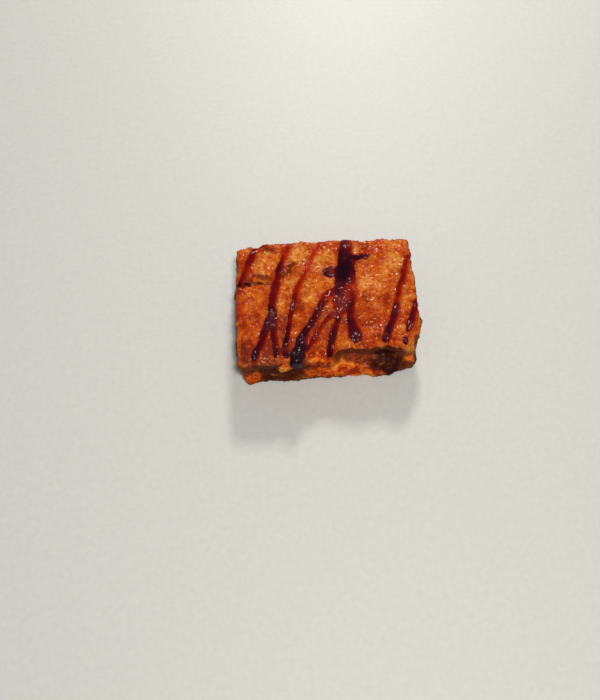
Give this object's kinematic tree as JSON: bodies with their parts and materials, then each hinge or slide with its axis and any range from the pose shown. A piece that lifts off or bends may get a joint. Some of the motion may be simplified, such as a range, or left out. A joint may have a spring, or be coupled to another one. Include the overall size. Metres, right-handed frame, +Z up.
{
  "type": "banana cake slab",
  "caption": "Rectangular portion of moist banana cake with a browned crust, one crumbled side and dark red syrup drizzled in runs over its top.",
  "frame": {"origin": "middle of the outer box's base, on the surface that the cake lies on", "axes": "+X to the right along the longer cut sides, +Y towards the far side, +Z up; the crumbled side faces -Y"},
  "size_m": [0.1005, 0.0772, 0.0276],
  "materials": {
    "crumb": "moist orange-brown baked crumb, glossy where the syrup has soaked in",
    "syrup": "dark red glossy syrup, brighter red where it runs thin"
  },
  "bodies": {
    "root": {"cake": "crumb"}
  },
  "joints": []
}
